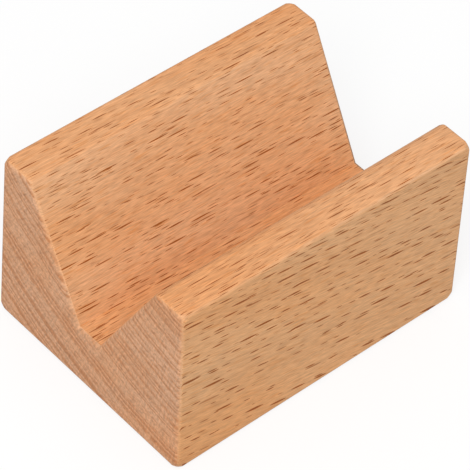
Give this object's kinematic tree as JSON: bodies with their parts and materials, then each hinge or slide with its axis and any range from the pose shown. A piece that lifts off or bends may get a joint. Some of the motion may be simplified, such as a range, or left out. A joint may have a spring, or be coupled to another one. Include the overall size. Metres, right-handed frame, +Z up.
{
  "type": "wooden sushi stand",
  "caption": "Solid beech block with an open, flat-bottomed V groove cut along its top, which holds a hand roll or a folded wrap upright.",
  "frame": {"origin": "middle of the base, on the surface that the stand rests on", "axes": "+Z up, +Y along the groove, +X across the two walls"},
  "size_m": [0.0896, 0.12, 0.0695],
  "materials": {
    "beech": "sanded and lightly oiled, matt"
  },
  "bodies": {
    "root": {"stand": "beech"}
  },
  "joints": []
}
